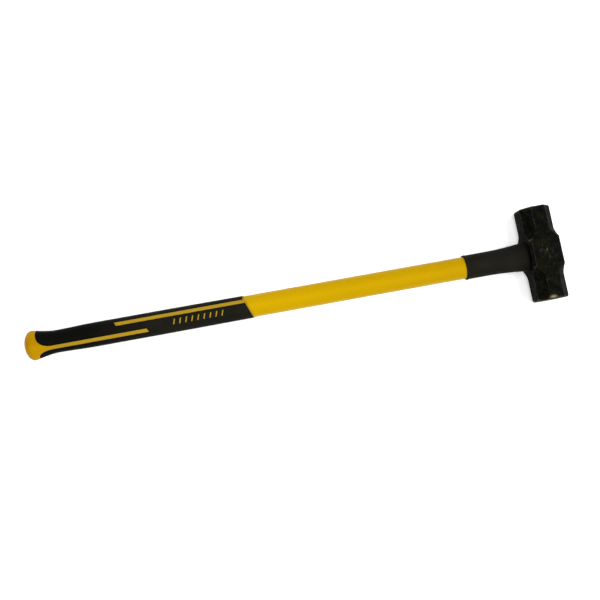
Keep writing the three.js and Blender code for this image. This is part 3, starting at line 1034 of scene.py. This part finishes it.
def cast_resin():
    """Dark cast epoxy with small bubbles at its surface."""
    m = Material("cast_resin")
    colour = m.mix(m.span(m.noise(3, 4), 0.4, 0.65), srgb(40, 33, 22), srgb(66, 54, 32))
    bubbles = m.span(m.cells(1.3), 0.0, 0.18)
    surface = m.bump(bubbles, 0.15, m.bump(m.noise(3, 2), 0.15))
    return m.finish(Base_Color=colour, Roughness=0.28, Normal=surface, Coat_Weight=0.3)


def pale_floor():
    """Plain, nearly white light table with a barely visible unevenness."""
    m = Material("pale_floor")
    tone = m.mix(m.span(m.noise(180, 3), 0.3, 0.7), (0.91, 0.91, 0.91, 1), (0.93, 0.93, 0.93, 1))
    return m.finish(Base_Color=tone, Roughness=0.9, Specular_IOR_Level=0.1, Emission_Color=tone,
                    Emission_Strength=FLOOR_GLOW)


def dress(piece, material):
    """Gives a piece its only material."""
    piece.data.materials.clear()
    piece.data.materials.append(material)


# ---------------------------------------------------------------- studio

def build_floor(material):
    """A floor that touches the head's cheek and the butt, as a real one would."""
    heel = EYE + Vector((BUTT + BUTT_DEPTH, 0, -OVAL * BUTT_HALF)) * MM
    cheek = Vector((head_low.x, 0, head_low.z))
    slope = math.atan2(heel.z - cheek.z, cheek.x - heel.x)
    mesh = bpy.data.meshes.new("studio_floor")
    corners = [Vector((x, y, 0)) * FLOOR_REACH for x, y in ((-1, -1), (1, -1), (1, 1), (-1, 1))]
    tilted = [cheek + Matrix.Rotation(slope, 3, "Y") @ corner for corner in corners]
    mesh.from_pydata(tilted, [], [(0, 1, 2, 3)])
    floor = bpy.data.objects.new("studio_floor", mesh)
    bpy.context.scene.collection.objects.link(floor)
    dress(floor, material)


def build_light(name, place, aim, size, watts):
    """A soft rectangular light."""
    data = bpy.data.lights.new(name, "AREA")
    data.shape = "RECTANGLE"
    data.size, data.size_y = size
    data.energy = watts
    light = bpy.data.objects.new(name, data)
    light.location = place
    light.rotation_euler = (Vector(aim) - Vector(place)).to_track_quat("-Z", "Y").to_euler()
    bpy.context.scene.collection.objects.link(light)


def build_world(overhead, horizon, height):
    """White surroundings that are brightest at the horizon and even out at a height above it."""
    world = bpy.data.worlds.new("studio")
    world.use_nodes = True
    tree = world.node_tree
    place = tree.nodes.new("ShaderNodeTexCoord")
    split = tree.nodes.new("ShaderNodeSeparateXYZ")
    fade = tree.nodes.new("ShaderNodeMapRange")
    fade.inputs["From Max"].default_value = height
    fade.inputs["To Min"].default_value = horizon
    fade.inputs["To Max"].default_value = overhead
    tree.links.new(place.outputs["Generated"], split.inputs[0])
    tree.links.new(split.outputs["Z"], fade.inputs["Value"])
    background = tree.nodes["Background"]
    background.inputs["Color"].default_value = (1, 1, 1, 1)
    tree.links.new(fade.outputs["Result"], background.inputs["Strength"])
    bpy.context.scene.world = world


def build_camera():
    """Camera above the tool, turned so that the handle rises to the right."""
    data = bpy.data.cameras.new("photo_view")
    data.sensor_width = SENSOR
    data.lens = LENS
    camera = bpy.data.objects.new("photo_view", data)
    ahead = (CAMERA_AIM - CAMERA_PLACE).normalized()
    level = ahead.to_track_quat("-Z", "Y").to_matrix()
    camera.matrix_world = Matrix.LocRotScale(CAMERA_PLACE, level @ Matrix.Rotation(CAMERA_ROLL, 3, "Z"), None)
    bpy.context.scene.collection.objects.link(camera)
    bpy.context.scene.camera = camera


# ---------------------------------------------------------------- the whole scene

head = build_head()
rod = build_rod()
resin = build_resin()
jacket = build_jacket()
collar = build_collar()
sleeve = build_grip_sleeve()
rubber = build_grip_rubber()

paint(head, "wear_and_highlight", rim_wear_and_highlight)
paint(head, "rub_and_painted_light", cheek_rub)
paint(jacket, "rub_and_painted_light", jacket_painted_light)
paint(collar, "rub_and_painted_light", collar_painted_shade)
paint(sleeve, "rub_and_painted_light", stripe_paling)
paint(rubber, "rub_and_painted_light", rubber_painted_light)

dress(head, forged_black())
dress(rod, sawn_glass_fibre())
dress(resin, cast_resin())
dress(jacket, moulded_plastic("jacket_yellow", *JACKET_YELLOWS, 0.42))
dress(sleeve, moulded_plastic("grip_yellow", *SLEEVE_YELLOWS, 0.46))
dress(collar, soft_rubber("collar_black", srgb(10, 10, 7), srgb(27, 26, 18), 0.9))
dress(rubber, soft_rubber("grip_black", srgb(6, 6, 3), srgb(26, 25, 17), 0.7))

build_floor(pale_floor())
for light in LIGHTS:
    build_light(*light)
build_world(*SKY)
build_camera()
bpy.context.scene.view_settings.view_transform = "Standard"
